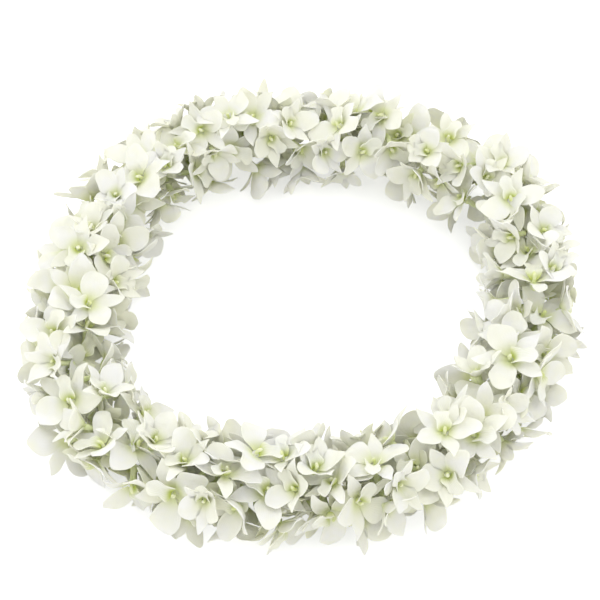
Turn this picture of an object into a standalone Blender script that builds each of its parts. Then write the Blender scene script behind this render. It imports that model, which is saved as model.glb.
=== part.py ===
"""Fresh flower lei: white dendrobium orchids threaded on a closed loop of string.

The lei lies on a flat surface at z = 0, with the middle of its ring at the origin. Lengths are in metres.
One blossom is modelled on a straight string that runs along X. It is then copied round the loop, and its
facing direction turns round the string by the same step from each blossom to the next.
"""

from dataclasses import dataclass
from math import copysign, cos, pi, radians, sin, tau

import bmesh
import bpy
from mathutils import Matrix, Vector

# The loop of string: a level oval
LOOP_HALF_LENGTH = 0.176
LOOP_HALF_WIDTH = 0.155
LOOP_TURN = radians(38)  # from +X to the oval's long axis
LOOP_CENTRE = Vector((-0.0005, 0.0008, 0.0341))
STRING_RADIUS = 0.0008
STRING_POINTS_PER_BLOSSOM = 2
STRING_CLEARANCE = 0.0005

# The knot that closes the loop: each end of the string is wound round it and leaves a short tail
WINDINGS = 2
WINDING_RADIUS = 0.0015
WINDING_PITCH = 0.0019
WINDING_POINTS = 6  # in one turn
KNOT_START = 0.0004  # from the knot's middle to where each winding starts
TAIL_LENGTH = 0.0080

# How the blossoms follow each other on the string
BLOSSOM_COUNT = 55
FACING_TURNS = 21  # whole turns that the facing direction makes in one loop
FACING_BIAS = 0.18  # 0 spreads the blossoms evenly round the string, and more turns them upwards
LEAN = radians(12)  # of a blossom's face towards the next one
ROLL = radians(250)  # of a blossom about its facing direction

# The middle of a blossom, which faces +Z with its dorsal sepal towards +Y
FACE_HEIGHT = 0.0135  # from the string to where the petals meet
HUB_RADIUS = 0.0032
HUB_DEPTH = 0.0024
COLUMN_LENGTH = 0.0075
COLUMN_TIP_RADIUS = 0.0014
SPUR_RADIUS = 0.0026
SPUR_TAIL = 0.0035  # of the spur, past the string

# Petals, sepals and lip
PETAL_LENGTH = 0.0285
PETAL_WIDTH = 0.0255
PETAL_RISE = radians(12)  # from the plane of the face
SEPAL_LENGTH = 0.0295
SEPAL_WIDTH = 0.0140
SEPAL_RISE = radians(8)
LIP_LENGTH = 0.0205
LIP_WIDTH = 0.0140
LIP_RISE = radians(42)
TIP_DROP = 0.003  # how far a tip curls back
LIP_TIP_DROP = 0.004
BLADE_THICKNESS = 0.0009
TIP_THICKNESS = 0.0006

# Outlines: how far along the blade, and the share of the full width there
PETAL_OUTLINE = ((0.12, 0.34), (0.42, 0.92), (0.76, 0.96), (1.0, 0.34))
SEPAL_OUTLINE = ((0.16, 0.50), (0.46, 1.0), (0.80, 0.66), (1.0, 0.10))
LIP_OUTLINE = ((0.25, 0.55), (0.70, 1.0), (1.0, 0.35))

PETAL_COLOUR = (0.86, 0.87, 0.80, 1)
STRING_COLOUR = (0.80, 0.76, 0.66, 1)

UP = Vector((0, 0, 1))


def clear_scene():
    for item in list(bpy.data.objects):
        bpy.data.objects.remove(item, do_unlink=True)


def new_collection(name):
    collection = bpy.data.collections.new(name)
    bpy.context.scene.collection.children.link(collection)
    return collection


def new_material(name, colour, roughness):
    material = bpy.data.materials.new(name)
    material.use_nodes = True
    shader = material.node_tree.nodes["Principled BSDF"]
    shader.inputs["Base Color"].default_value = colour
    shader.inputs["Roughness"].default_value = roughness
    shader.inputs["Metallic"].default_value = 0
    material.diffuse_color = colour
    return material


def new_object(name, mesh, collection):
    item = bpy.data.objects.new(name, mesh)
    collection.objects.link(item)
    return item


def mesh_from(name, shape):
    """Turns a bmesh into a mesh and frees it."""
    mesh = bpy.data.meshes.new(name)
    shape.to_mesh(mesh)
    shape.free()
    return mesh


@dataclass(frozen=True)
class BladeShape:
    """The shape of a petal, sepal or lip."""

    length: float
    width: float
    rise: float
    drop: float
    outline: tuple


@dataclass(frozen=True)
class Blade:
    """A petal, sepal or lip in its place.

    It grows from the side of the hub at its bud angle, and swings over to its clock angle, both in degrees
    from +X.
    """

    shape: BladeShape
    bud: float
    clock: float

    def bud_direction(self):
        return Vector((cos(radians(self.bud)), sin(radians(self.bud)), 0))

    def direction(self):
        return Vector((cos(radians(self.clock)), sin(radians(self.clock)), 0))

    def across(self):
        return UP.cross(self.direction())

    def middle(self, share):
        """The middle of the blade at a share of its length."""
        along = self.shape.length * share
        height = FACE_HEIGHT + along * sin(self.shape.rise) - self.shape.drop * share**2
        root = self.bud_direction() * HUB_RADIUS / 2
        return root + self.direction() * along * cos(self.shape.rise) + UP * height


PETAL = BladeShape(PETAL_LENGTH, PETAL_WIDTH, PETAL_RISE, TIP_DROP, PETAL_OUTLINE)
SEPAL = BladeShape(SEPAL_LENGTH, SEPAL_WIDTH, SEPAL_RISE, TIP_DROP, SEPAL_OUTLINE)
LIP = BladeShape(LIP_LENGTH, LIP_WIDTH, LIP_RISE, LIP_TIP_DROP, LIP_OUTLINE)
BLADES = (
    Blade(SEPAL, bud=90, clock=90),
    Blade(PETAL, bud=30, clock=20),
    Blade(SEPAL, bud=-30, clock=-52),
    Blade(LIP, bud=-90, clock=-90),
    Blade(SEPAL, bud=-150, clock=-128),
    Blade(PETAL, bud=150, clock=160),
)


def facing(shape, direction):
    """The face of a bmesh whose normal is nearest to a direction."""
    return max(shape.faces, key=lambda face: face.normal.dot(direction))


def extruded(shape, face):
    return bmesh.ops.extrude_discrete_faces(shape, faces=[face])["faces"][0]


def grow_blade(shape, blade):
    """Extrudes one side of the hub along a blade, with a section at each point of its outline."""
    face = facing(shape, blade.bud_direction())
    for share, fullness in blade.shape.outline:
        centre = face.calc_center_median()
        signs = []
        for point in face.verts:
            offset = point.co - centre
            signs.append((copysign(1, offset.dot(blade.across())), copysign(1, offset.z)))
        face = extruded(shape, face)
        thickness = BLADE_THICKNESS + (TIP_THICKNESS - BLADE_THICKNESS) * share
        for point, (side, level) in zip(face.verts, signs):
            edge = blade.across() * side * fullness * blade.shape.width / 2
            point.co = blade.middle(share) + edge + UP * level * thickness / 2


def grow_end(shape, direction, sections):
    """Extrudes the hub's end that faces a direction, to each height and radius."""
    face = facing(shape, direction)
    for height, radius in sections:
        face = extruded(shape, face)
        for point in face.verts:
            flat = Vector((point.co.x, point.co.y, 0)).normalized()
            point.co = flat * radius + UP * height


def evaluated_mesh(item):
    graph = bpy.context.evaluated_depsgraph_get()
    return bpy.data.meshes.new_from_object(item.evaluated_get(graph))


def add_boolean(item, other, operation):
    modifier = item.modifiers.new(operation.title(), "BOOLEAN")
    modifier.operation = operation
    modifier.object = other
    return modifier


def joined(name, meshes, collection):
    """One body from closed meshes that overlap."""
    items = [new_object(mesh.name, mesh, collection) for mesh in meshes]
    for other in items[1:]:
        add_boolean(items[0], other, "UNION")
    mesh = evaluated_mesh(items[0])
    mesh.name = name
    for item in items:
        bpy.data.objects.remove(item, do_unlink=True)
    return mesh


def cylinder(name, segments, radius, length):
    """A cylinder round the Z axis, with a flat side towards +Y if its segments are even."""
    shape = bmesh.new()
    bmesh.ops.create_cone(
        shape, cap_ends=True, segments=segments, radius1=radius, radius2=radius, depth=length,
        matrix=Matrix.Rotation(pi / segments, 4, "Z"),
    )
    return mesh_from(name, shape)


def hole_cutter(collection):
    """A rod along the string, a little wider than the string."""
    mesh = cylinder("string_hole", 6, STRING_RADIUS + STRING_CLEARANCE, 6 * SPUR_RADIUS)
    mesh.transform(Matrix.Rotation(radians(90), 4, "Y"))
    cutter = new_object("string_hole", mesh, collection)
    cutter.display_type = "WIRE"
    cutter.hide_render = True
    return cutter


def whole_blossom():
    """Six blades round a hub, a column in front of it, and a spur behind it that the string goes through."""
    shape = bmesh.new()
    shape.from_mesh(cylinder("hub", 6, HUB_RADIUS, HUB_DEPTH))
    bmesh.ops.translate(shape, verts=shape.verts, vec=UP * FACE_HEIGHT)
    shape.normal_update()
    grow_end(shape, UP, [(FACE_HEIGHT + COLUMN_LENGTH, COLUMN_TIP_RADIUS)])
    grow_end(shape, -UP, [(FACE_HEIGHT / 3, SPUR_RADIUS), (-SPUR_TAIL, SPUR_RADIUS)])
    for blade in BLADES:
        grow_blade(shape, blade)
    return mesh_from("orchid", shape)


def blossom_mesh(cutters):
    """The blossom on a straight string along X, leaning towards +X, with the string's hole through it."""
    whole = whole_blossom()
    whole.transform(Matrix.Rotation(LEAN, 4, "Y") @ Matrix.Rotation(ROLL, 4, "Z"))
    uncut = new_object("orchid_uncut", whole, cutters)
    drilling = add_boolean(uncut, hole_cutter(cutters), "DIFFERENCE")
    drilling.use_self = True  # merges the blades where their roots overlap
    mesh = evaluated_mesh(uncut)
    bpy.data.objects.remove(uncut, do_unlink=True)
    mesh.name = "orchid"
    mesh.shade_smooth()
    mesh.set_sharp_from_angle(angle=radians(60))
    return mesh


def oval(angle):
    """A point of the string's loop."""
    flat = Vector((LOOP_HALF_LENGTH * cos(angle), LOOP_HALF_WIDTH * sin(angle), 0))
    return LOOP_CENTRE + Matrix.Rotation(LOOP_TURN, 3, "Z") @ flat


def oval_direction(angle):
    flat = Vector((-LOOP_HALF_LENGTH * sin(angle), LOOP_HALF_WIDTH * cos(angle), 0))
    return (Matrix.Rotation(LOOP_TURN, 3, "Z") @ flat).normalized()


def even_angles(count, fine_steps=7200):
    """The oval's angles at equal lengths of string, the first of them at the long axis."""
    lengths = [0.0]
    for step in range(fine_steps):
        piece = oval(tau * (step + 1) / fine_steps) - oval(tau * step / fine_steps)
        lengths.append(lengths[-1] + piece.length)
    angles = []
    step = 0
    for index in range(count):
        wanted = lengths[-1] * index / count
        while lengths[step + 1] <= wanted:
            step += 1
        share = (wanted - lengths[step]) / (lengths[step + 1] - lengths[step])
        angles.append(tau * (step + share) / fine_steps)
    return angles


def strand_frame(angle, facing):
    """Stands the straight-string model on the loop: X along the string, Z at the facing angle from outwards."""
    along = oval_direction(angle)
    outward = along.cross(UP)
    front = cos(facing) * outward + sin(facing) * UP
    side = front.cross(along)
    turn = Matrix((along, side, front)).transposed().to_4x4()
    return Matrix.Translation(oval(angle)) @ turn


def facing_angle(index):
    """From outwards, round over the top: the blossoms spiral round the string, crowded towards the top."""
    turned = tau * FACING_TURNS * index / BLOSSOM_COUNT
    return radians(90) + turned - FACING_BIAS * sin(turned)


def add_blossoms(parts, cutters):
    mesh = blossom_mesh(cutters)
    mesh.materials.append(new_material("white_petal", PETAL_COLOUR, 0.55))
    for index, angle in enumerate(even_angles(BLOSSOM_COUNT)):
        blossom = new_object(f"orchid_{index + 1:02d}", mesh, parts)
        blossom.matrix_world = strand_frame(angle, facing_angle(index))


def tube(name, points, closed, collection):
    """A round string along the points, as a closed mesh."""
    curve = bpy.data.curves.new(name, "CURVE")
    curve.dimensions = "3D"
    curve.bevel_depth = STRING_RADIUS
    curve.bevel_resolution = 2
    curve.use_fill_caps = True
    spline = curve.splines.new("POLY")
    spline.points.add(len(points) - 1)
    spline.use_cyclic_u = closed
    for spot, point in zip(spline.points, points):
        spot.co = (*point, 1)
    item = new_object(name, curve, collection)
    mesh = evaluated_mesh(item)
    bpy.data.objects.remove(item, do_unlink=True)
    shape = bmesh.new()
    shape.from_mesh(mesh)
    bmesh.ops.remove_doubles(shape, verts=shape.verts, dist=0.00001)
    return mesh_from(name, shape)


def winding_points(side):
    """One end of the string: out of the loop, wound round it and on into its tail."""
    points = [Vector((0, 0, 0))]
    for step in range(WINDINGS * WINDING_POINTS + 1):
        turn = tau * step / WINDING_POINTS
        along = side * (KNOT_START + WINDING_PITCH * step / WINDING_POINTS)
        points.append(Vector((along, WINDING_RADIUS * cos(turn), WINDING_RADIUS * sin(turn))))
    points.append(points[-1] + Vector((side * 0.2, 0.3, 1)).normalized() * TAIL_LENGTH)
    return points


def add_string(parts, cutters):
    """The loop, and its knot half-way between the last blossom and the first."""
    loop_angles = even_angles(BLOSSOM_COUNT * STRING_POINTS_PER_BLOSSOM)
    loop = tube("loop", [oval(angle) for angle in loop_angles], True, cutters)
    knot_place = strand_frame(loop_angles[-1], radians(90))
    windings = [tube("winding", winding_points(side), False, cutters) for side in (-1, 1)]
    for winding in windings:
        winding.transform(knot_place)
    mesh = joined("lei_string", [loop] + windings, cutters)
    mesh.shade_smooth()
    mesh.materials.append(new_material("cotton_string", STRING_COLOUR, 0.85))
    new_object("lei_string", mesh, parts)


def main():
    clear_scene()
    parts = new_collection("flower_lei")
    cutters = new_collection("cutters")
    add_string(parts, cutters)
    add_blossoms(parts, cutters)


main()
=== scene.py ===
"""The looks of a fresh flower lei: white dendrobium orchids threaded close together on a cotton string.

Every blossom that has a CAD node sits exactly where that node is and stands for it. Sprays of more blossoms
fill the room between them. Lengths are in metres and angles in degrees, unless a name says otherwise.
"""

import logging
from dataclasses import dataclass, field, replace
from enum import Enum
from math import cos, degrees, radians, sin, tau
from random import Random
from typing import Any, Callable, Union

import bmesh
import bpy
from bpy.types import Material, Node, NodeSocket, Object
from mathutils import Matrix, Vector
from mathutils.bvhtree import BVHTree


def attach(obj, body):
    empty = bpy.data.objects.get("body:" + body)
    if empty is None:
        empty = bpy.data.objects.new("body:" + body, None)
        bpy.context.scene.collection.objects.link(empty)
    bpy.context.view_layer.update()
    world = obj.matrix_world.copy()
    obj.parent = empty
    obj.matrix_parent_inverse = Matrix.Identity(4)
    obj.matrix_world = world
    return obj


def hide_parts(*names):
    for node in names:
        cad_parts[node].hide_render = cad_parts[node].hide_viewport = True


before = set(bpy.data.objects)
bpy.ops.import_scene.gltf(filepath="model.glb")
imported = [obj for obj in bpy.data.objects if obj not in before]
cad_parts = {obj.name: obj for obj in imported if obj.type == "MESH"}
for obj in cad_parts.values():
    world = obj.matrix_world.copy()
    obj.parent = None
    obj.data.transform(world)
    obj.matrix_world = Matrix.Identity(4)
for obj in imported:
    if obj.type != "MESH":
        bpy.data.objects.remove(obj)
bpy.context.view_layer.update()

LOG = logging.getLogger("lei")
UP = Vector((0, 0, 1))
PLACE = "blade_place"  # the attribute that says where on its blade a point is: across, along, 0
SPREAD = "spread"  # the vertex group that says how freely a point may wander

Number = Union[int, float]
Colour = tuple[float, float, float, float]


# ---------------------------------------------------------------- hand tools


class Bench:
    """The modelling bench: selecting, shaping and finishing with Blender's own operators."""

    @staticmethod
    def clear() -> None:
        """Leaves nothing selected."""
        if bpy.context.object and bpy.context.object.mode != "OBJECT":
            bpy.ops.object.mode_set(mode="OBJECT")
        bpy.ops.object.select_all(action="DESELECT")

    @staticmethod
    def take(*items: Object) -> None:
        """Selects these objects and no others, the first of them active.

        Args:
            items: The objects to select.
        """
        Bench.clear()
        for item in items:
            item.select_set(True)
        bpy.context.view_layer.objects.active = items[0]

    @staticmethod
    def edit(mode: str = "VERT") -> None:
        """Goes into edit mode with nothing selected.

        Args:
            mode: What is selected there: VERT, EDGE or FACE.
        """
        bpy.ops.object.mode_set(mode="EDIT")
        bpy.ops.mesh.select_mode(type=mode)
        bpy.ops.mesh.select_all(action="DESELECT")

    @staticmethod
    def pick(rule: Callable[[Any], bool], kind: str = "verts") -> None:
        """Selects what a rule says yes to, in edit mode, and nothing else.

        Args:
            rule: Takes a bmesh point, edge or face.
            kind: verts, edges or faces.
        """
        shape = bmesh.from_edit_mesh(bpy.context.object.data)
        for part in (*shape.verts, *shape.edges, *shape.faces):
            part.select = False
        for part in getattr(shape, kind):
            if rule(part):
                part.select_set(True)
        shape.select_flush(True)
        bmesh.update_edit_mesh(bpy.context.object.data)

    @staticmethod
    def apply_modifiers(item: Object) -> None:
        """Applies every modifier of an object, in order."""
        Bench.take(item)
        for modifier in list(item.modifiers):
            bpy.ops.object.modifier_apply(modifier=modifier.name)

    @staticmethod
    def apply_place(item: Object) -> None:
        """Puts an object's place, turn and size into its mesh."""
        Bench.take(item)
        bpy.ops.object.transform_apply(location=True, rotation=True, scale=True)

    @staticmethod
    def join(items: list[Object], name: str) -> Object:
        """Joins objects into one.

        Args:
            items: The objects, the first of which stays.
            name: What the joined object is called.

        Returns:
            The joined object.
        """
        Bench.take(*items)
        if len(items) > 1:
            bpy.ops.object.join()
        joined = bpy.context.object
        joined.name = joined.data.name = name
        return joined

    @staticmethod
    def copy(item: Object, name: str, place: Matrix) -> Object:
        """Copies an object with a mesh of its own, and puts the copy's place into that mesh.

        Args:
            item: The object to copy.
            name: What the copy is called.
            place: Where the copy goes.

        Returns:
            The copy.
        """
        made = item.copy()
        made.data = item.data.copy()
        made.name = made.data.name = name
        bpy.context.scene.collection.objects.link(made)
        made.hide_render = made.hide_viewport = False
        made.matrix_world = place
        Bench.apply_place(made)
        return made

    @staticmethod
    def remove(item: Object) -> None:
        """Throws an object away with its mesh."""
        mesh = item.data
        bpy.data.objects.remove(item, do_unlink=True)
        bpy.data.meshes.remove(mesh)


# ---------------------------------------------------------------- shader tools


class Wire:
    """A shader socket's value, which can be used in sums as a number can."""

    def __init__(self, recipe: "Recipe", socket: NodeSocket) -> None:
        """Wraps an output of a recipe's node."""
        self.recipe = recipe
        self.socket = socket

    def math(self, operation: str, *others: Union["Wire", Number], first: bool = True) -> "Wire":
        """Adds a Math node.

        Args:
            operation: The Math node's operation.
            others: Its other values.
            first: False puts this value after the others.

        Returns:
            The result.
        """
        values = [self, *others] if first else [*others, self]
        node = self.recipe.node("ShaderNodeMath", {"operation": operation}, dict(enumerate(values)))
        return Wire(self.recipe, node.outputs[0])

    def __add__(self, other: Union["Wire", Number]) -> "Wire":
        """This plus another."""
        return self.math("ADD", other)

    __radd__ = __add__

    def __sub__(self, other: Union["Wire", Number]) -> "Wire":
        """This less another."""
        return self.math("SUBTRACT", other)

    def __rsub__(self, other: Number) -> "Wire":
        """A number less this."""
        return self.math("SUBTRACT", other, first=False)

    def __mul__(self, other: Union["Wire", Number]) -> "Wire":
        """This times another."""
        return self.math("MULTIPLY", other)

    __rmul__ = __mul__

    def __truediv__(self, other: Union["Wire", Number]) -> "Wire":
        """This over another."""
        return self.math("DIVIDE", other)

    def __pow__(self, other: Number) -> "Wire":
        """This to a power."""
        return self.math("POWER", other)

    def __abs__(self) -> "Wire":
        """This without its sign."""
        return self.math("ABSOLUTE")

    def clipped(self) -> "Wire":
        """This kept from 0 to 1."""
        node = self.recipe.node("ShaderNodeClamp", {}, {"Value": self})
        return Wire(self.recipe, node.outputs[0])

    def eased(self, start: Number, end: Number) -> "Wire":
        """A smooth step.

        Args:
            start: Where the step is 0.
            end: Where the step is 1.

        Returns:
            From 0 to 1.
        """
        settings = {"interpolation_type": "SMOOTHSTEP", "clamp": True}
        values = {"Value": self, "From Min": start, "From Max": end}
        node = self.recipe.node("ShaderNodeMapRange", settings, values)
        return Wire(self.recipe, node.outputs[0])


class Recipe:
    """A material's nodes, with a Principled shader that is wired up in words."""

    def __init__(self, name: str) -> None:
        """Starts a material.

        Args:
            name: The material's name.
        """
        self.material = bpy.data.materials.new(name)
        self.material.use_nodes = True
        self.tree = self.material.node_tree
        self.shader = self.tree.nodes["Principled BSDF"]

    def node(self, kind: str, settings: dict[str, Any], values: dict[Union[str, int], Any]) -> Node:
        """Adds a node.

        Args:
            kind: The node's type.
            settings: What is set on the node itself, before its sockets.
            values: A number, colour, Wire or socket for each named or numbered input.

        Returns:
            The node.
        """
        made = self.tree.nodes.new(kind)
        for key, value in settings.items():
            setattr(made, key, value)
        for key, value in values.items():
            self.feed(made.inputs[key], value)
        return made

    def feed(self, socket: NodeSocket, value: Any) -> None:
        """Links a Wire or an output to an input, or sets a constant on it.

        Args:
            socket: The input.
            value: The Wire, output or constant.
        """
        if isinstance(value, Wire):
            self.tree.links.new(value.socket, socket)
        elif isinstance(value, NodeSocket):
            self.tree.links.new(value, socket)
        else:
            socket.default_value = value

    def set(self, **values: Any) -> None:
        """Feeds the Principled shader; an underscore stands for a space in a socket's name."""
        for key, value in values.items():
            self.feed(self.shader.inputs[key.replace("_", " ")], value)

    def place_on_blade(self) -> tuple[Wire, Wire, NodeSocket]:
        """How far across a blade (-1 to 1) and along it (0 to 1) a point is, and both as a vector."""
        source = self.node("ShaderNodeAttribute", {"attribute_name": PLACE}, {})
        parts = self.node("ShaderNodeSeparateXYZ", {}, {0: source.outputs["Vector"]})
        return Wire(self, parts.outputs["X"]), Wire(self, parts.outputs["Y"]), source.outputs["Vector"]

    def object_place(self) -> NodeSocket:
        """The Object coordinates."""
        return self.node("ShaderNodeTexCoord", {}, {}).outputs["Object"]

    def noise(self, vector: NodeSocket, scale: float, detail: float = 2.0, roughness: float = 0.5) -> Wire:
        """Noise from 0 to 1, with so many lumps in one unit and finer layers of so much strength."""
        values = {"Vector": vector, "Scale": scale, "Detail": detail, "Roughness": roughness}
        return Wire(self, self.node("ShaderNodeTexNoise", {}, values).outputs[0])

    def mix(self, share: Union[Wire, float], first: Any, second: Any) -> NodeSocket:
        """Mixes two colours, each a constant or an output, with a share of the second from 0 to 1."""
        settings = {"data_type": "RGBA", "clamp_factor": True}
        return self.node("ShaderNodeMix", settings, {0: share, 6: first, 7: second}).outputs[2]

    def bump(self, height: Wire, distance: float, strength: float = 1.0) -> NodeSocket:
        """The normal of a height from 0 to 1, where 1 stands out by a distance."""
        values = {"Height": height, "Distance": distance, "Strength": strength}
        return self.node("ShaderNodeBump", {}, values).outputs[0]


# ---------------------------------------------------------------- finishes


@dataclass(frozen=True)
class PetalFinish:
    """The skin of a petal, sepal or lip: white, satin and faintly see-through, with a green throat."""

    name: str
    pale: Colour = (0.962, 0.959, 0.932, 1)
    cream: Colour = (0.952, 0.952, 0.800, 1)
    throat: Colour = (0.77, 0.82, 0.46, 1)
    vein: Colour = (0.84, 0.87, 0.72, 1)
    throat_reach: float = 0.56  # of the blade's length
    throat_power: float = 2.0
    vein_count: float = 17.0
    vein_strength: float = 0.14
    vein_wander: float = 0.12
    patch_scale: float = 44.0
    uneven_scale: float = 60.0
    crease_scale: float = 260.0
    grain_scale: float = 1400.0
    relief: float = 0.00022
    glow: float = 0.50  # how much light goes through the skin
    glow_depth: float = 0.0022
    glow_tint: tuple[float, float, float] = (1.0, 0.98, 0.86)
    roughness: float = 0.52

    def material(self) -> Material:
        """Builds the material.

        Returns:
            The material.
        """
        recipe = Recipe(self.name)
        across, along, on_blade = recipe.place_on_blade()
        place = recipe.object_place()
        fan = across * (1.25 - 0.25 * along) + (recipe.noise(on_blade, 3.0) - 0.5) * self.vein_wander
        veins = (1 - abs((fan * self.vein_count).math("SINE"))) ** 4 * along.eased(1.02, 0.55)
        patches = recipe.noise(place, self.patch_scale, 3.0).eased(0.32, 0.62)
        skin = recipe.mix(patches, self.pale, self.cream)
        skin = recipe.mix(veins * self.vein_strength, skin, self.vein)
        near_root = along.eased(self.throat_reach, 0.0) ** self.throat_power
        uneven = 0.75 + 0.5 * recipe.noise(place, self.uneven_scale)
        skin = recipe.mix((near_root * uneven).clipped(), skin, self.throat)
        grain = recipe.noise(place, self.grain_scale)
        height = 0.25 * grain - 0.45 * veins + 0.5 * recipe.noise(place, self.crease_scale)
        recipe.set(
            Base_Color=skin,
            Roughness=(self.roughness + 0.12 * (grain - 0.5)).clipped(),
            Normal=recipe.bump(height, self.relief, 0.8),
            Subsurface_Weight=self.glow,
            Subsurface_Radius=self.glow_tint,
            Subsurface_Scale=self.glow_depth,
            Sheen_Weight=0.12,
            Sheen_Roughness=0.45,
            Specular_IOR_Level=0.38,
        )
        return recipe.material


@dataclass(frozen=True)
class StemFinish:
    """The waxy skin of a column, an anther cap or a spur."""

    name: str
    light: Colour
    deep: Colour
    roughness: float = 0.42
    patch_scale: float = 220.0
    grain_scale: float = 1500.0
    relief: float = 0.0001
    glow: float = 0.25
    glow_depth: float = 0.0015
    glow_tint: tuple[float, float, float] = (1.0, 0.95, 0.5)

    def material(self) -> Material:
        """Builds the material.

        Returns:
            The material.
        """
        recipe = Recipe(self.name)
        place = recipe.object_place()
        patches = recipe.noise(place, self.patch_scale, 3.0).eased(0.3, 0.7)
        grain = recipe.noise(place, self.grain_scale)
        recipe.set(
            Base_Color=recipe.mix(patches, self.light, self.deep),
            Roughness=(self.roughness + 0.14 * (grain - 0.5)).clipped(),
            Normal=recipe.bump(grain, self.relief, 0.6),
            Subsurface_Weight=self.glow,
            Subsurface_Radius=self.glow_tint,
            Subsurface_Scale=self.glow_depth,
            Specular_IOR_Level=0.45,
        )
        return recipe.material


@dataclass(frozen=True)
class CottonFinish:
    """Twisted cotton string: pale plies that wind round the loop, with fine fibres and painted shade in the
    grooves between them.
    """

    name: str = "cotton_string"
    light: Colour = (0.80, 0.77, 0.68, 1)
    # deep: painted shade, the darker colour given to the grooves between the plies
    deep: Colour = (0.52, 0.48, 0.38, 1)
    twists: float = 330.0  # in the whole loop
    slant: float = 1.5  # how far the plies lean over the string
    fibre_scale: float = 2600.0
    relief: float = 0.00035

    def material(self, loop: "StringLoop") -> Material:
        """Builds the material.

        Args:
            loop: The loop that the string follows.

        Returns:
            The material.
        """
        recipe = Recipe(self.name)
        place = recipe.object_place()
        settings = {"vector_type": "POINT"}
        turned = recipe.node("ShaderNodeMapping", settings, {
            "Vector": place,
            "Rotation": (0, 0, -loop.turn),
            "Location": tuple(-(Matrix.Rotation(-loop.turn, 3, "Z") @ loop.centre)),
        })
        parts = recipe.node("ShaderNodeSeparateXYZ", {}, {0: turned.outputs[0]})
        x, y, z = (Wire(recipe, output) for output in parts.outputs)
        long_share, wide_share = x / loop.half_length, y / loop.half_width
        around = wide_share.math("ARCTAN2", long_share)
        outwards = (long_share * long_share + wide_share * wide_share).math("SQRT") - 1
        winding = z.math("ARCTAN2", outwards * ((loop.half_length + loop.half_width) / 2))
        plies = abs((around * (self.twists / 2) + winding * self.slant).math("SINE"))
        fibres = recipe.noise(place, self.fibre_scale, 3.0, 0.65)
        # The grooves between the plies take the deep colour: painted shade, on top of their bump.
        painted_groove_shade = plies.eased(0.0, 0.55)
        recipe.set(
            Base_Color=recipe.mix((painted_groove_shade * (0.7 + 0.5 * fibres)).clipped(), self.deep, self.light),
            Roughness=(0.78 + 0.2 * fibres).clipped(),
            Normal=recipe.bump(plies + 0.35 * fibres, self.relief, 0.9),
            Sheen_Weight=0.25,
            Specular_IOR_Level=0.2,
        )
        return recipe.material


@dataclass(frozen=True)
class FloorFinish:
    """A matt, plain top."""

    name: str = "white_table"
    colour: Colour = (0.92, 0.925, 0.945, 1)
    speck: Colour = (0.88, 0.88, 0.88, 1)
    speck_share: float = 0.15
    grain_scale: float = 300.0
    glow: float = 0.52

    def material(self) -> Material:
        """Builds the material.

        Returns:
            The material.
        """
        recipe = Recipe(self.name)
        grain = recipe.noise(recipe.object_place(), self.grain_scale)
        recipe.set(
            Base_Color=recipe.mix(grain * self.speck_share, self.colour, self.speck),
            Roughness=0.9,
            Specular_IOR_Level=0.1,
            Emission_Color=self.colour,
            Emission_Strength=self.glow,
        )
        return recipe.material


# ---------------------------------------------------------------- one blossom


@dataclass(frozen=True)
class Station:
    """One cross-section of a blade.

    Attributes:
        along: Its share of the blade's length.
        fullness: Its share of the blade's full width.
        trough: How deep it is dished, as a share of the full width.
    """

    along: float
    fullness: float
    trough: float

    @property
    def stretch(self) -> float:
        """How far its row reaches along the blade, which stops shrinking where the blade gets narrow."""
        return max(self.fullness, 0.3)


WHOLE = Station(0.0, 1.0, 1.0)  # the cross-section as it is first drawn
CURL_EASE = 1.4  # above 1, a blade curls more towards its tip


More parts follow.
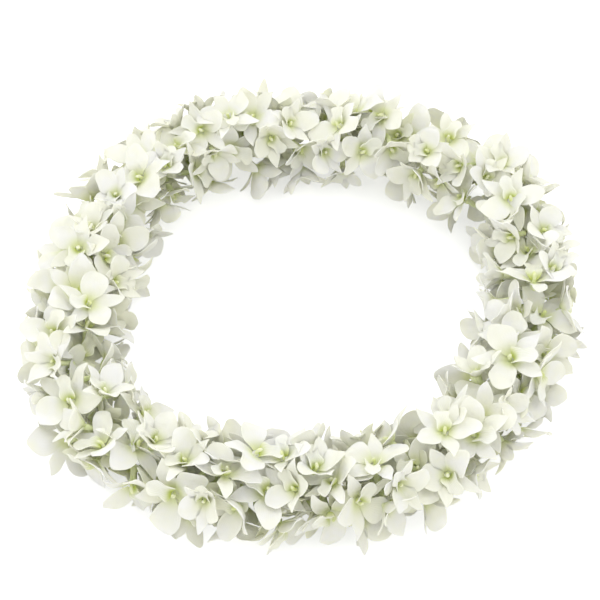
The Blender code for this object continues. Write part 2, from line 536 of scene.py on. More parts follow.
@dataclass(frozen=True)
class Blade:
    """A petal, sepal or lip.

    Attributes:
        length: From root to tip.
        width: At its widest.
        rise: How far it stands up from the face.
        clock: Its direction on the face, from +X.
        curl: How far its tip bends back from its root.
        lift: How far in front of the face it starts.
        stations: Its cross-sections, from the root to the tip.
        columns: How many faces it has across.
        bow: How much further the middle of each cross-section reaches than its edges, in widths.
        twist: How far it is turned about its own length.
    """

    length: float
    width: float
    rise: float
    clock: float
    curl: float
    stations: tuple[Station, ...]
    lift: float = 0.0
    columns: int = 8
    bow: float = 0.10
    twist: float = 0.0

    def build(self, name: str, root_radius: float, face_height: float) -> Object:
        """Draws the root's cross-section and extrudes it from station to station.

        Args:
            name: What the blade is called.
            root_radius: How far from the face's middle it starts.
            face_height: How far the face is from the string.

        Returns:
            The blade as one sheet, in its place on a blossom that faces +Z.
        """
        Bench.clear()
        first, second = self.stations[:2]
        step = (second.along - first.along) * self.length
        bpy.ops.mesh.primitive_grid_add(x_subdivisions=self.columns, y_subdivisions=1, size=1)
        sheet = bpy.context.object
        sheet.name = name
        sheet.data.attributes.new(PLACE, "FLOAT_VECTOR", "POINT")
        Bench.edit()
        bpy.ops.mesh.select_all(action="SELECT")
        bpy.ops.transform.translate(value=(0, 0.5, 0))
        bpy.ops.transform.resize(value=(self.width, step, 1), center_override=(0, 0, 0))
        self._dish_section()
        for station, row in ((second, step), (first, 0.0)):
            Bench.pick(lambda point: abs(point.co.y - row) < step / 2)
            self._bow_row()
            self._fit_row(station, WHOLE)
            self._note_place(station)
        self._extrude_rows(step)
        bpy.ops.object.mode_set(mode="OBJECT")
        self._stand_up(sheet, root_radius, face_height)
        return sheet

    def _dish_section(self) -> None:
        """Raises the outer columns into an arc as deep as the width."""
        near = self.width / self.columns / 2
        for column in range(1, self.columns // 2 + 1):
            share = 2 * column / self.columns
            Bench.pick(lambda point: abs(abs(point.co.x) - share * self.width / 2) < near)
            bpy.ops.transform.translate(value=(0, 0, self.width * share**2))

    def _bow_row(self) -> None:
        """Pulls the middle of the selected row forward."""
        shape = bmesh.from_edit_mesh(bpy.context.object.data)
        row = [point for point in shape.verts if point.select]
        for point in row:
            share = 2 * point.co.x / self.width
            point.co.y += self.bow * self.width * (1 - share * share)
        bmesh.update_edit_mesh(bpy.context.object.data)

    def _row_root(self) -> Vector:
        """The middle of the selected row, where it is lowest."""
        shape = bmesh.from_edit_mesh(bpy.context.object.data)
        row = [point.co for point in shape.verts if point.select]
        return min(row, key=lambda place: abs(place.x)).copy()

    def _fit_row(self, station: Station, before: Station) -> None:
        """Gives the selected row the width and the depth of a station.

        Args:
            station: The station.
            before: The station that the row has the width and the depth of.
        """
        ratios = (
            station.fullness / before.fullness,
            station.stretch / before.stretch,
            station.trough / before.trough,
        )
        bpy.ops.transform.resize(value=ratios, center_override=self._row_root())

    def _note_place(self, station: Station) -> None:
        """Writes on the selected row where on the blade it is.

        Args:
            station: The row's station.
        """
        mesh = bpy.context.object.data
        shape = bmesh.from_edit_mesh(mesh)
        layer = shape.verts.layers.float_vector[PLACE]
        half = station.fullness * self.width / 2
        for point in shape.verts:
            if point.select:
                point[layer] = Vector((point.co.x / half, station.along, 0))
        bmesh.update_edit_mesh(mesh)

    def _extrude_rows(self, step: float) -> None:
        """Extrudes the far row through the other stations, bending back a little at each.

        Args:
            step: Where along the blade the far row is.
        """
        before = self.stations[1]
        Bench.pick(lambda point: point.co.y > step * 0.75)
        pitch = 0.0
        for station in self.stations[2:]:
            length = (station.along - before.along) * self.length
            bend = radians(self.curl) * (station.along**CURL_EASE - before.along**CURL_EASE)
            pitch -= bend
            way = Vector((0, cos(pitch), sin(pitch))) * length
            bpy.ops.mesh.extrude_region_move(TRANSFORM_OT_translate={"value": way})
            self._fit_row(station, before)
            self._note_place(station)
            bpy.ops.transform.rotate(
                value=bend, orient_axis="X", orient_type="GLOBAL", center_override=self._row_root()
            )
            before = station

    def _stand_up(self, sheet: Object, root_radius: float, face_height: float) -> None:
        """Turns the sheet to its rise and its clock direction, on the face.

        Args:
            sheet: The blade, flat along +Y.
            root_radius: How far from the face's middle it starts.
            face_height: How far the face is from the string.
        """
        sheet.matrix_world = (
            Matrix.Translation(UP * (face_height + self.lift))
            @ Matrix.Rotation(radians(self.clock - 90), 4, "Z")
            @ Matrix.Translation((0, root_radius, 0))
            @ Matrix.Rotation(radians(self.rise), 4, "X")
            @ Matrix.Rotation(radians(self.twist), 4, "Y")
        )
        Bench.apply_place(sheet)


PETAL_STATIONS = (
    Station(0.00, 0.18, 0.020),
    Station(0.15, 0.44, 0.040),
    Station(0.32, 0.82, 0.070),
    Station(0.52, 1.00, 0.095),
    Station(0.72, 0.98, 0.085),
    Station(0.89, 0.74, 0.050),
    Station(1.00, 0.34, 0.020),
)
SEPAL_STATIONS = (
    Station(0.00, 0.34, 0.030),
    Station(0.18, 0.62, 0.065),
    Station(0.38, 0.94, 0.095),
    Station(0.56, 0.98, 0.100),
    Station(0.76, 0.74, 0.080),
    Station(0.92, 0.34, 0.045),
    Station(1.00, 0.09, 0.010),
)
LIP_STATIONS = (
    Station(0.00, 0.34, 0.100),
    Station(0.15, 0.70, 0.300),
    Station(0.30, 0.92, 0.460),
    Station(0.42, 0.86, 0.340),
    Station(0.52, 0.62, 0.130),
    Station(0.66, 0.92, 0.110),
    Station(0.80, 0.98, 0.120),
    Station(0.92, 0.62, 0.080),
    Station(1.00, 0.16, 0.020),
)


@dataclass(frozen=True)
class Opening:
    """How far a blossom has opened.

    Attributes:
        sepals: Added to the rise of its sepals.
        petals: Added to the rise of its petals.
        lip: Added to the rise of its lip.
        size: Its share of a full-grown blossom's size.
    """

    sepals: float
    petals: float
    lip: float
    size: float


class Habit(Enum):
    """The blossoms' ages, from the fullest to the small ones close to the string."""

    OPEN = Opening(0.0, 0.0, 0.0, 1.0)
    EASY = Opening(7.0, 10.0, 2.0, 0.98)
    CUPPED = Opening(16.0, 20.0, 6.0, 0.96)
    HALF_OPEN = Opening(34.0, 38.0, 14.0, 0.90)
    INNER = Opening(26.0, 30.0, 10.0, 0.80)


COLUMN_STEPS = ((0.2, 0.86), (0.1, 1.02), (-0.2, 1.22), (-0.5, 0.98), (-0.5, 0.45))  # forward, size
SPUR_STEPS = ((0.25, 0.78), (0.25, 1.04), (0.25, 1.06), (0.17, 0.80), (0.08, 0.55))  # share of run, size
PATTERN_COUNTS = {Habit.OPEN: 2, Habit.EASY: 3, Habit.CUPPED: 3, Habit.HALF_OPEN: 2, Habit.INNER: 2}


@dataclass
class Pattern:
    """A finished blossom to copy, and the plain sheets of its petals, which show where petals would cross.

    Attributes:
        whole: The blossom.
        points: The sheets' points.
        faces: The sheets' faces.
    """

    whole: Object
    points: list[Vector]
    faces: list[list[int]]


@dataclass
class Blossom:
    """A dendrobium: three sepals, two petals, a lip, a column and a spur behind."""

    name: str
    habit: Habit
    seed: int
    face_height: float = 0.0135
    root_radius: float = 0.0016
    petal_length: float = 0.0240
    petal_width: float = 0.0194
    sepal_length: float = 0.0252
    sepal_width: float = 0.0116
    lip_length: float = 0.0180
    lip_width: float = 0.0132
    thickness: float = 0.00055
    column_length: float = 0.0075
    column_radius: float = 0.0017
    column_foot: float = 0.0012
    spur_radius: float = 0.0027
    spur_foot: float = 0.002
    spur_tail: float = 0.0035  # past the string
    crease: float = 50.0  # the angle from which an edge stays sharp
    calm: float = 0.12  # in petal lengths from the middle, within which nothing wanders
    smoothing: int = 1  # subdivision levels
    chance: Random = field(init=False)
    sheet_points: list[Vector] = field(init=False, default_factory=list)
    sheet_faces: list[list[int]] = field(init=False, default_factory=list)

    def __post_init__(self) -> None:
        """Starts this blossom's own chances."""
        self.chance = Random(self.seed)

    def about(self, spread: float) -> float:
        """A number from -spread to spread."""
        return self.chance.uniform(-spread, spread)

    def blades(self) -> dict[str, list[Blade]]:
        """The blades for each finish.

        Returns:
            The petals and sepals, and the lip.
        """
        opening = self.habit.value
        around = [
            Blade(
                length=self.sepal_length, width=self.sepal_width, rise=10 + opening.sepals,
                clock=clock, curl=18, stations=SEPAL_STATIONS, columns=4, lift=-0.0004,
            )
            for clock in (90, -52, 232)
        ]
        around += [
            Blade(
                length=self.petal_length, width=self.petal_width, rise=15 + opening.petals,
                clock=clock, curl=20, stations=PETAL_STATIONS, columns=6, lift=0.0004,
            )
            for clock in (20, 160)
        ]
        around = [
            replace(
                blade,
                rise=blade.rise + self.about(4), clock=blade.clock + self.about(3),
                curl=blade.curl + self.about(12), twist=self.about(7),
            )
            for blade in around
        ]
        lip = Blade(
            length=self.lip_length, width=self.lip_width, rise=46 + opening.lip, clock=-90,
            curl=58 + self.about(10), stations=LIP_STATIONS, columns=4, bow=0.06, lift=0.0002,
        )
        return {"petals": around, "lip": [lip]}

    def build_blades(self, blades: list[Blade], name: str, finish: Material) -> Object:
        """Builds blades, joins them and gives them their thickness.

        Args:
            blades: The blades.
            name: What they are called together.
            finish: Their material.

        Returns:
            The joined blades.
        """
        sheets = [
            blade.build(f"{name}_{index}", self.root_radius, self.face_height)
            for index, blade in enumerate(blades)
        ]
        joined = Bench.join(sheets, name)
        Bench.take(joined)
        Bench.edit("FACE")
        bpy.ops.mesh.select_all(action="SELECT")
        bpy.ops.mesh.normals_make_consistent(inside=False)
        bpy.ops.object.mode_set(mode="OBJECT")
        self.note_sheets(joined)
        self.smooth(joined)
        wall = joined.modifiers.new("Wall", "SOLIDIFY")
        wall.thickness = self.thickness
        wall.offset = 0
        wall.use_rim = True
        Bench.apply_modifiers(joined)
        joined.data.materials.clear()
        joined.data.materials.append(finish)
        return joined

    def smooth(self, part: Object) -> None:
        """Adds the subdivision that rounds a part, if the blossom has any."""
        if self.smoothing:
            rounding = part.modifiers.new("Rounding", "SUBSURF")
            rounding.levels = rounding.render_levels = self.smoothing

    def note_sheets(self, sheets: Object) -> None:
        """Keeps the plain sheets' points, at the blossom's final size, and faces."""
        start = len(self.sheet_points)
        self.sheet_points += [point.co * self.habit.value.size for point in sheets.data.vertices]
        self.sheet_faces += [[start + index for index in face.vertices] for face in sheets.data.polygons]

    def extrude_stem(
        self, part: str, sides: int, radius: float, foot: tuple[float, Vector],
        steps: list[tuple[Vector, float]], finish: Material,
    ) -> Object:
        """Draws a short round foot and extrudes the end of it, step by step.

        Args:
            part: What it is called.
            sides: How many sides it has.
            radius: The foot's radius.
            foot: The foot's length, and where its middle is.
            steps: The way that each step goes, and what share of the last end's size the next end has.
            finish: Its material.

        Returns:
            The stem.
        """
        Bench.clear()
        bpy.ops.mesh.primitive_cylinder_add(vertices=sides, radius=radius, depth=foot[0], location=foot[1])
        stem = bpy.context.object
        stem.name = f"{self.name}_{part}"
        Bench.apply_place(stem)
        Bench.edit("FACE")
        ahead = steps[-1][0].normalized()
        Bench.pick(lambda face: face.normal.dot(ahead) > 0.7, "faces")  # the end, and no side
        for way, size in steps:
            bpy.ops.mesh.extrude_region_move(TRANSFORM_OT_translate={"value": way})
            bpy.ops.transform.resize(value=(size, size, 1))
        bpy.ops.object.mode_set(mode="OBJECT")
        stem.data.materials.append(finish)
        return stem

    def build_column(self, finish: Material) -> Object:
        """Builds the column: a stub that narrows, then swells into the anther cap.

        Args:
            finish: Its material.

        Returns:
            The column.
        """
        rise = self.column_length / len(COLUMN_STEPS)
        steps = [(Vector((0, rise * forward, rise)), size) for forward, size in COLUMN_STEPS]
        foot = (self.column_foot, Vector((0, 0.0004, self.face_height + 0.0002)))
        column = self.extrude_stem("column", 6, self.column_radius, foot, steps, finish)
        self.smooth(column)
        Bench.apply_modifiers(column)
        return column

    def build_spur(self, finish: Material) -> Object:
        """Builds the spur: a waist behind the face that widens round the string and closes past it.

        Args:
            finish: Its material.

        Returns:
            The spur.
        """
        run = self.face_height - self.spur_foot + self.spur_tail
        steps = [(UP * (-run * share), size) for share, size in SPUR_STEPS]
        foot = (self.spur_foot, UP * (self.face_height - self.spur_foot / 2))
        return self.extrude_stem("spur", 8, self.spur_radius, foot, steps, finish)

    def build(self, finishes: dict[str, Material]) -> Pattern:
        """Builds the whole blossom, facing +Z over a string along X.

        Args:
            finishes: The materials by part.

        Returns:
            The blossom, not shown, with its plain sheets.
        """
        # The small blossoms close to the string take the inner skin, whose extra cream and darker throat
        # are painted shade.
        if self.habit is Habit.INNER:
            finishes = {**finishes, "petals": finishes["inner"]}
        parts = [
            self.build_blades(blades, f"{self.name}_{part}", finishes[part])
            for part, blades in self.blades().items()
        ]
        parts.append(self.build_column(finishes["column"]))
        parts.append(self.build_spur(finishes["spur"]))
        whole = Bench.join(parts, self.name)
        Bench.take(whole)
        bpy.ops.object.shade_smooth_by_angle(angle=radians(self.crease))
        whole.scale = (self.habit.value.size,) * 3
        Bench.apply_place(whole)
        self.weigh_spread(whole)
        whole.hide_render = whole.hide_viewport = True
        return Pattern(whole, self.sheet_points, self.sheet_faces)

    def weigh_spread(self, whole: Object) -> None:
        """Lets a point wander more, the further from the blossom's middle it is.

        Args:
            whole: The blossom.
        """
        group = whole.vertex_groups.new(name=SPREAD)
        middle = UP * self.face_height
        for point in whole.data.vertices:
            away = (point.co - middle).length / self.petal_length
            group.add([point.index], min(1.0, max(0.0, away - self.calm)), "REPLACE")


# ---------------------------------------------------------------- the lei


@dataclass(frozen=True)
class StringLoop:
    """The level oval that the string follows, as the CAD lays it."""

    half_length: float = 0.176
    half_width: float = 0.155
    turn: float = radians(38)
    centre: Vector = Vector((-0.0005, 0.0008, 0.0341))
    fine_steps: int = 7200

    def point(self, angle: float) -> Vector:
        """The point at an angle of the oval."""
        flat = Vector((self.half_length * cos(angle), self.half_width * sin(angle), 0))
        return self.centre + Matrix.Rotation(self.turn, 3, "Z") @ flat

    def direction(self, angle: float) -> Vector:
        """The string's direction at an angle of the oval."""
        flat = Vector((-self.half_length * sin(angle), self.half_width * cos(angle), 0))
        return (Matrix.Rotation(self.turn, 3, "Z") @ flat).normalized()

    def even_angles(self, count: int) -> list[float]:
        """The angles at equal lengths of string, the first of them at the long axis.

        Args:
            count: How many.

        Returns:
            The angles.
        """
        points = [self.point(tau * step / self.fine_steps) for step in range(self.fine_steps + 1)]
        lengths = [0.0]
        for before, after in zip(points, points[1:]):
            lengths.append(lengths[-1] + (after - before).length)
        angles, step = [], 0
        for index in range(count):
            wanted = lengths[-1] * index / count
            while lengths[step + 1] <= wanted:
                step += 1
            share = (wanted - lengths[step]) / (lengths[step + 1] - lengths[step])
            angles.append(tau * (step + share) / self.fine_steps)
        return angles

    def strand_frame(self, angle: float, facing: float) -> Matrix:
        """Where a blossom modelled on a straight string goes.

        Args:
            angle: The place on the oval.
            facing: From outwards, round over the top, in radians.

        Returns:
            X along the string, Z the way that the blossom faces.
        """
        along = self.direction(angle)
        outward = along.cross(UP)
        front = cos(facing) * outward + sin(facing) * UP
        side = front.cross(along)
        turn = Matrix((along, side, front)).transposed().to_4x4()
        return Matrix.Translation(self.point(angle)) @ turn


@dataclass(frozen=True)
class Spot:
    """Where a blossom sits on the string.

    Attributes:
        share: Its share of the way round.
        facing: The way that it faces, in degrees from outwards, round over the top.
        arm: How much further out than a threaded blossom it sits.
        drift: How far it is moved aside from the string.
    """

    share: float
    facing: float
    arm: float
    drift: Vector = field(default_factory=Vector)


@dataclass
class Laid:
    """A blossom that has its place.

    Attributes:
        pattern: The blossom to copy.
        place: Where it goes.
        spot: Its spot on the string.
        middle: The middle of its face.
        points: Its plain sheets' points.
        tree: Its plain sheets, ready to be tried against others.
    """

    pattern: Pattern
    place: Matrix
    spot: Spot
    middle: Vector = field(init=False)
    points: list[Vector] = field(init=False)
    tree: BVHTree = field(init=False)

    def __post_init__(self) -> None:
        """Works out where its petals are."""
        self.middle = self.place @ (UP * Blossom.face_height)
        self.points = [self.place @ point for point in self.pattern.points]
        self.tree = BVHTree.FromPolygons(self.points, self.pattern.faces)

    def crossings(self, others: list["Laid"]) -> int:
        """How many times a face of this blossom's sheets crosses a face of another's."""
        return sum(len(self.tree.overlap(other.tree)) for other in others if other is not self)


@dataclass
class Lei:
    """The blossoms in their places: those that the CAD threads on the string, and the sprays between them.

    An arm is how much further out than a threaded blossom another one sits.
    """

    loop: StringLoop = field(default_factory=StringLoop)
    seed: int = 7
    count: int = 55  # of the blossoms that have a CAD node
    facing_turns: int = 21  # right round the string, over the whole loop
    facing_bias: float = 0.18  # in radians, towards the top
    lean: float = 12.0  # along the string
    roll: float = 250.0  # about the way that a blossom faces
    wander: float = 0.0105  # how far petal tips stray
    wander_size: float = 0.019  # the size of the waves that they stray in
    calm_height: float = 0.02  # below this they stray less and less
    floor_gap: float = 0.0002  # which the lowest petals keep
    sprays: int = 55
    spray_size: int = 3  # full blossoms in each spray
    inner_size: int = 2  # small blossoms in each spray, close to the string
    inner_blossom_arm: float = -0.0045
    golden: float = 0.6180339887  # of a turn, from one small blossom to the next
    drifts: tuple[tuple[int, float, float], ...] = (  # waves round the loop, how far outwards, and where
        (0, 0.0006, 0.0), (1, 0.0014, -60.0), (2, 0.0051, -91.0), (3, 0.0023, 5.0), (4, 0.0041, 121.0),
    )
    tries: int = 24  # for each spray blossom, before the freest spot is taken
    spray_facing: tuple[float, float] = (-38.0, 206.0)
    tip: float = 36.0  # how far a spray blossom may lean each way
    outer_arm: float = 0.0012  # on the outside of the loop
    inner_arm: float = 0.0135  # on its inside
    arm_play: float = 0.002  # each way, from spot to spot
    arm_shift: tuple[float, float] = (-0.002, 0.003)  # from turn to turn
    sizes: tuple[float, float] = (0.88, 1.04)  # of spray blossoms, as shares of their own size
    turns_tried: int = 7  # for each spray blossom in each sweep
    sweeps: int = 3
    reach: float = 0.062  # beyond which two blossoms' faces are too far apart to touch
    room: Vector = field(default_factory=lambda: Vector((0.201, 0.199, 0.0755)))  # half, half, whole
    room_floor: float = 0.001
    out_of_room_cost: int = 4  # in crossings, for each point of a sheet
    angles_each: int = 40  # of the oval, for each threaded blossom

    def __post_init__(self) -> None:
        """Sets the chances and the steps along the string."""
        self.chance = Random(self.seed)
        self.fine_angles = self.loop.even_angles(self.count * self.angles_each)

    def finishes(self) -> dict[str, Material]:
        """Makes the materials of the blossoms.

        Returns:
            The materials by part.
        """
        return {
            "petals": PetalFinish("petal_skin").material(),
            "lip": PetalFinish(
                "lip_skin", pale=(0.93, 0.94, 0.86, 1), throat=(0.58, 0.67, 0.16, 1),
                vein=(0.66, 0.74, 0.34, 1), throat_reach=0.62, vein_strength=0.5, vein_count=13.0,
            ).material(),
            "column": StemFinish(
                "column_skin", light=(0.90, 0.91, 0.74, 1), deep=(0.72, 0.78, 0.36, 1),
            ).material(),
            "spur": StemFinish(
                "spur_skin", light=(0.84, 0.88, 0.60, 1), deep=(0.66, 0.74, 0.36, 1),
            ).material(),
            # The small blossoms deep in the lei, close to the string, get a copy of the petal skin that is
            # creamier and has a darker green throat: painted olive shade for where they sit.
            "inner": PetalFinish(
                "inner_petal_skin", pale=(0.955, 0.958, 0.850, 1), cream=(0.92, 0.935, 0.68, 1),
                throat=(0.60, 0.68, 0.22, 1), throat_reach=0.5,
            ).material(),
        }

    def patterns(self, finishes: dict[str, Material]) -> dict[Habit, list[Pattern]]:
        """Models the blossoms that are copied, two or three of each habit.

        Args:
            finishes: The materials by part.

        Returns:
            The blossoms by habit.
        """
        return {
            habit: [
                Blossom(
                    f"pattern_{habit.name.lower()}_{number}", habit,
                    seed=31 * number + len(habit.name), smoothing=int(habit is not Habit.INNER),
                ).build(finishes)
                for number in range(count)
            ]
            for habit, count in PATTERN_COUNTS.items()
        }

    @staticmethod
    def own_turn(lean: float, roll: float) -> Matrix:
        """How a blossom leans along the string and rolls about the way that it faces."""
        return Matrix.Rotation(radians(lean), 4, "Y") @ Matrix.Rotation(radians(roll), 4, "Z")

    def stray(self, blossom: Object) -> None:
        """Bends a blossom's petals along with the air around them, less so near the floor.

        Args:
            blossom: The blossom.
        """
        group = blossom.vertex_groups[SPREAD]
        for point in blossom.data.vertices:
            if point.co.z < self.calm_height:
                weight = group.weight(point.index) * max(0.0, point.co.z / self.calm_height)
                group.add([point.index], weight, "REPLACE")
        modifier = blossom.modifiers.new("Stray", "DISPLACE")
        modifier.texture = self.air()
        modifier.texture_coords = "LOCAL"
        modifier.direction = "RGB_TO_XYZ"
        modifier.mid_level = 0.5
        modifier.strength = self.wander
        modifier.vertex_group = SPREAD
        Bench.apply_modifiers(blossom)
        blossom.vertex_groups.clear()

    def air(self) -> bpy.types.Texture:
        """Finds or makes the soft waves that bend the petals.

        Returns:
            The waves as a texture.
        """
        found = bpy.data.textures.get("air")
        if found is None:
            found = bpy.data.textures.new("air", "CLOUDS")
            found.noise_scale = self.wander_size
            found.noise_depth = 1
            found.cloud_type = "COLOR"
        return found

    def settle(self, blossom: Object) -> None:
        """Lifts a blossom that reaches below the floor.

        Args:
            blossom: The blossom.
        """
        lowest = min(point.co.z for point in blossom.data.vertices)
        if lowest < self.floor_gap:
            blossom.location.z = self.floor_gap - lowest
            Bench.apply_place(blossom)

    def lay(self, laid: Laid, name: str) -> Object:
        """Copies a blossom into its place and lets its petals stray.

        Args:
            laid: The blossom and its place.
            name: What the copy is called.

        Returns:
            The copy.
        """
        blossom = Bench.copy(laid.pattern.whole, name, laid.place)
        self.stray(blossom)
        self.settle(blossom)
        return blossom

    def threaded_spots(self) -> list[Spot]:
        """The spots of the blossoms that have a CAD node, as the CAD has them.

        Returns:
            The spots, in order.
        """
        spots = []
        for index in range(self.count):
            turned = tau * self.facing_turns * index / self.count
            facing = radians(90) + turned - self.facing_bias * sin(turned)
            spots.append(Spot(index / self.count, degrees(facing), 0.0))
        return spots

    def threaded(self, patterns: dict[Habit, list[Pattern]]) -> list[Laid]:
        """Places the blossoms that have a CAD node.

        Args:
            patterns: The blossoms to copy.

        Returns:
            The blossoms in their places.
        """
        choices = patterns[Habit.OPEN] + patterns[Habit.EASY] * 2
        turn = self.own_turn(self.lean, self.roll)
        return [
            Laid(self.chance.choice(choices), self.strand(spot) @ turn, spot)
            for spot in self.threaded_spots()
        ]

    def face_middle(self, spot: Spot) -> Vector:
        """Where the middle of a blossom's face is."""
        return self.strand(spot) @ (UP * (Blossom.face_height + spot.arm))

    def strand(self, spot: Spot) -> Matrix:
        """The frame of a spot: X along the string, Z the way that the blossom faces."""
        frame_there = self.loop.strand_frame(self.angle_at(spot.share), radians(spot.facing))
        return Matrix.Translation(spot.drift) @ frame_there

    def drift_at(self, share: float) -> Vector:
        """How far the thick of the lei lies outside the string, since it is laid by hand.

        Args:
            share: The place on the string.

        Returns:
            The way there, level.
        """
        outward = self.loop.point(self.angle_at(share)) - self.loop.centre
        heading = outward.to_2d().angle_signed(Vector((1, 0)))
        waves = (size * cos(count * heading - radians(start)) for count, size, start in self.drifts)
        return outward.normalized() * sum(waves)

    def angle_at(self, share: float) -> float:
        """The oval's angle at a share of the string's length."""
        return self.fine_angles[int(share * len(self.fine_angles)) % len(self.fine_angles)]

    def arm_at(self, facing: float) -> float:
        """A spray blossom's arm: longer on the inside of the loop, where the lei is thickest."""
        inward = 0.5 - 0.5 * cos(radians(facing))
        return self.outer_arm + (self.inner_arm - self.outer_arm) * inward

    def free_spots(self, taken: list[Vector]) -> list[Spot]:
        """Finds a spot for each spray blossom, each as far from the others as a few tries give.

        Args:
            taken: The middles of the faces that are there already.

        Returns:
            The spots, in order round the string.
        """
        spots = []
        for _ in range(self.sprays * self.spray_size):
            best, best_gap, best_middle = None, -1.0, None
            for _ in range(self.tries):
                facing = self.chance.uniform(*self.spray_facing)
                arm = self.arm_at(facing) + self.chance.uniform(-self.arm_play, self.arm_play)
                share = self.chance.random()
                spot = Spot(share, facing, arm, self.drift_at(share))
                middle = self.face_middle(spot)
                gap = min((middle - other).length for other in taken)
                if gap > best_gap:
                    best, best_gap, best_middle = spot, gap, middle
            spots.append(best)
            taken.append(best_middle)
        return sorted(spots, key=lambda spot: spot.share)

    def try_place(self, spot: Spot, choices: list[Pattern]) -> Laid:
        """Turns, tips and sizes a spray blossom by chance.

        Args:
            spot: Where it sits.
            choices: The blossoms to copy.

        Returns:
            The blossom in its place.
        """
        face = UP * Blossom.face_height
        tilt = (
            Matrix.Translation(face)
            @ Matrix.Rotation(radians(self.chance.uniform(-self.tip, self.tip)), 4, "X")
            @ self.own_turn(self.chance.uniform(-self.tip, self.tip), self.chance.uniform(0, 360))
            @ Matrix.Scale(self.chance.uniform(*self.sizes), 4)
            @ Matrix.Translation(-face)
        )
        arm = Matrix.Translation(UP * (spot.arm + self.chance.uniform(*self.arm_shift)))
        return Laid(self.chance.choice(choices), self.strand(spot) @ arm @ tilt, spot)

    def out_of_room(self, points: list[Vector]) -> int:
        """Counts points that are outside the room that the lei has.

        Args:
            points: The points.

        Returns:
            The count.
        """
        return sum(
            abs(point.x) > self.room.x
            or abs(point.y) > self.room.y
            or not self.room_floor < point.z < self.room.z
            for point in points
        )

    def cost(self, blossom: Laid, others: list[Laid]) -> int:
        """How badly a blossom fits among others."""
        near = [other for other in others if (other.middle - blossom.middle).length < self.reach]
        return blossom.crossings(near) + self.out_of_room_cost * self.out_of_room(blossom.points)

    def sprays_placed(self, patterns: dict[Habit, list[Pattern]], threaded: list[Laid]) -> list[Laid]:
        """Places the full blossoms of the sprays between the threaded ones, so that few petals cross.

        Args:
            patterns: The blossoms to copy.
            threaded: The blossoms that are there already.

        Returns:
            The blossoms in their places, in order round the string.
        """
        choices = patterns[Habit.CUPPED] * 2 + patterns[Habit.HALF_OPEN] + patterns[Habit.EASY]
        spots = self.free_spots([self.face_middle(spot) for spot in self.threaded_spots()])
        return self.settle_among(spots, choices, threaded)

    def inner_placed(self, patterns: dict[Habit, list[Pattern]], others: list[Laid]) -> list[Laid]:
        """Places the small blossoms close to the string, evenly and facing every way in turn.

        Args:
            patterns: The blossoms to copy.
            others: The blossoms that are there already.

        Returns:
            The blossoms in their places, in order round the string.
        """
        number = self.sprays * self.inner_size
        spots = []
        for index in range(number):
            share = (index + 0.5) / number
            facing = 360 * ((index * self.golden) % 1.0)
            spots.append(Spot(share, facing, self.inner_blossom_arm, self.drift_at(share) / 2))
        return self.settle_among(spots, patterns[Habit.INNER], others)

    def settle_among(self, spots: list[Spot], choices: list[Pattern], others: list[Laid]) -> list[Laid]:
        """Turns the blossom at each spot the way that crosses its neighbours least, in a few sweeps.

        Args:
            spots: The spots.
            choices: The blossoms to copy.
            others: The blossoms that are there already and stay as they are.

        Returns:
            The blossoms in their places, in the order of the spots.
        """
        placed: list[Laid] = []
        for spot in spots:
            options = [self.try_place(spot, choices) for _ in range(self.turns_tried)]
            placed.append(min(options, key=lambda option: self.cost(option, others + placed)))
        for _ in range(self.sweeps):
            for index, blossom in enumerate(placed):
                around = others + placed[:index] + placed[index + 1 :]
                options = [self.try_place(blossom.spot, choices) for _ in range(self.turns_tried)]
                placed[index] = min([blossom, *options], key=lambda option: self.cost(option, around))
        left = sum(self.cost(blossom, others + placed) for blossom in placed)
        LOG.info("%d blossoms placed; what is left of their cost: %d", len(placed), left)
        return placed

    def finish(self, blossoms: list[Object], name: str) -> Object:
        """Joins blossoms into one piece that rides on the lei.

        Args:
            blossoms: The blossoms.
            name: What the piece is called.

        Returns:
            The piece.
        """
        piece = Bench.join(blossoms, name)
        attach(piece, "root")
        return piece

    def build(self) -> list[Object]:
        """Builds every blossom: the threaded ones one to a piece, the others in sprays.

        Returns:
            The pieces.
        """
        patterns = self.patterns(self.finishes())
        threaded = self.threaded(patterns)
        placed = self.sprays_placed(patterns, threaded)
        inner = self.inner_placed(patterns, threaded + placed)
        made = []
        for number, laid in enumerate(threaded, start=1):
            blossom = self.lay(laid, f"blossom_{number:02d}")
            made.append(self.finish([blossom], blossom.name))
            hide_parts(f"orchid_{number:02d}")
        for number in range(self.sprays):
            name = f"spray_{number + 1:02d}"
            own = placed[number * self.spray_size : (number + 1) * self.spray_size]
            own += inner[number * self.inner_size : (number + 1) * self.inner_size]
            blossoms = [self.lay(laid, f"{name}_{step}") for step, laid in enumerate(own)]
            made.append(self.finish(blossoms, name))
        for group in patterns.values():
            for pattern in group:
                Bench.remove(pattern.whole)
        return made


@dataclass
class LeiString:
    """The string and its knot, which keep their CAD shape."""

    loop: StringLoop
    node: str = "lei_string"

    def build(self) -> Object:
        """Dresses the CAD string in twisted cotton.

        Returns:
            The string.
        """
        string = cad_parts[self.node]
        string.data.materials.clear()
        string.data.materials.append(CottonFinish().material(self.loop))
        return string


# ---------------------------------------------------------------- the studio


@dataclass(frozen=True)
class Softbox:
    """A square soft light."""

    name: str
    place: tuple[float, float, float]
    size: float
    power: float  # in watts
    colour: tuple[float, float, float]


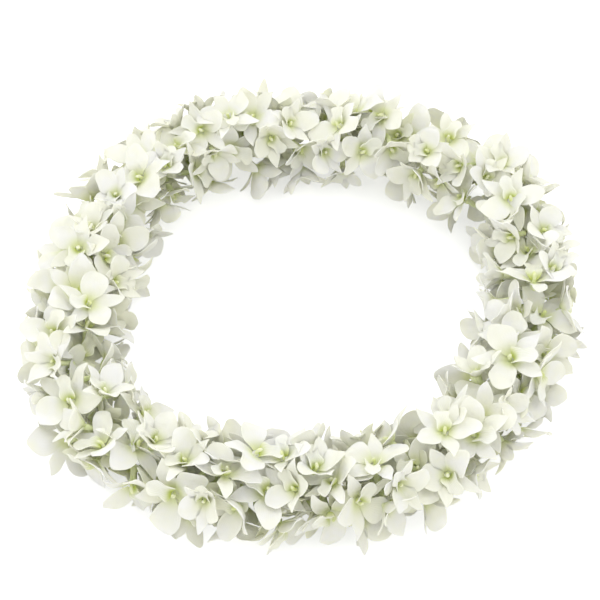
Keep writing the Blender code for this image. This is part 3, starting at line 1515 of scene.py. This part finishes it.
@dataclass
class Studio:
    """A white table top, soft lights and the camera."""

    table_size: float = 20.0
    card_depth: float = 0.0005  # below the table top
    card_tone: Colour = (0.86, 0.85, 0.80, 1)
    room_tone: Colour = (1.0, 1.0, 0.99, 1)
    room_light: float = 1.0
    softboxes: tuple[Softbox, ...] = (
        Softbox("window_light", (-0.7, 1.25, 1.35), 1.5, 6.0, (1.0, 0.99, 0.97)),
        Softbox("top_light", (0.15, 0.1, 1.9), 1.8, 4.0, (0.98, 0.99, 1.0)),
    )
    aim: Vector = field(default_factory=lambda: Vector((-0.002, 0.002, 0.030)))
    azimuth: float = -2.5
    elevation: float = 53.0
    distance: float = 1.15
    picture_width: float = 0.424  # of what the camera sees at the aim
    sensor_width: float = 36.0  # in millimetres
    clip: tuple[float, float] = (0.01, 20.0)

    def add_level(self, height: float, finish: FloorFinish) -> Object:
        """Adds a level plane that isn't part of the lei.

        Args:
            height: How high it lies.
            finish: Its finish, which also names it.

        Returns:
            The plane.
        """
        Bench.clear()
        bpy.ops.mesh.primitive_plane_add(size=self.table_size, location=(0, 0, height))
        plane = bpy.context.object
        plane.name = finish.name
        Bench.apply_place(plane)
        plane.data.materials.append(finish.material())
        return plane

    def add_table(self) -> None:
        """Adds the white table top, and the duller card under it that alone throws light up at the lei."""
        table = self.add_level(0.0, FloorFinish())
        table.visible_diffuse = table.visible_shadow = False
        card = self.add_level(-self.card_depth, FloorFinish("bounce_card", self.card_tone, glow=0.0))
        card.visible_camera = False

    def hang(self, data: Union[bpy.types.Light, bpy.types.Camera], place: Vector) -> Object:
        """Puts a light or a camera in its place, turned towards the lei.

        Args:
            data: The light or camera.
            place: Where it goes.

        Returns:
            What was put there.
        """
        item = bpy.data.objects.new(data.name, data)
        bpy.context.scene.collection.objects.link(item)
        item.location = place
        item.rotation_euler = (self.aim - place).to_track_quat("-Z", "Y").to_euler()
        return item

    def add_lights(self) -> None:
        """Adds the soft lights and the pale room."""
        for softbox in self.softboxes:
            light = bpy.data.lights.new(softbox.name, "AREA")
            light.shape = "SQUARE"
            light.size = softbox.size
            light.energy = softbox.power
            light.color = softbox.colour
            self.hang(light, Vector(softbox.place))
        world = bpy.data.worlds.new("pale_room")
        world.use_nodes = True
        room = world.node_tree.nodes["Background"]
        room.inputs["Color"].default_value = self.room_tone
        room.inputs["Strength"].default_value = self.room_light
        bpy.context.scene.world = world
        bpy.context.scene.view_settings.view_transform = "Standard"

    def add_camera(self) -> None:
        """Adds the camera."""
        camera = bpy.data.cameras.new("camera")
        camera.sensor_width = self.sensor_width
        camera.lens = self.sensor_width * self.distance / self.picture_width
        camera.dof.use_dof = False
        camera.clip_start, camera.clip_end = self.clip
        turn, height = radians(self.azimuth), radians(self.elevation)
        back = Vector((sin(turn) * cos(height), -cos(turn) * cos(height), sin(height)))
        bpy.context.scene.camera = self.hang(camera, self.aim + back * self.distance)

    def build(self) -> None:
        """Builds the table, the lights and the camera."""
        self.add_table()
        self.add_lights()
        self.add_camera()


def main() -> None:
    """Builds the lei and its studio, and reports each piece."""
    logging.basicConfig(level=logging.INFO, format="%(message)s")
    lei = Lei()
    pieces = lei.build() + [LeiString(lei.loop).build()]
    Studio().build()
    total = 0
    for piece in pieces:
        piece.data.calc_loop_triangles()
        triangles = len(piece.data.loop_triangles)
        total += triangles
        LOG.info("%s: %d triangles", piece.name, triangles)
    LOG.info("%d pieces, %d triangles", len(pieces), total)


if __name__ == "__main__":
    main()
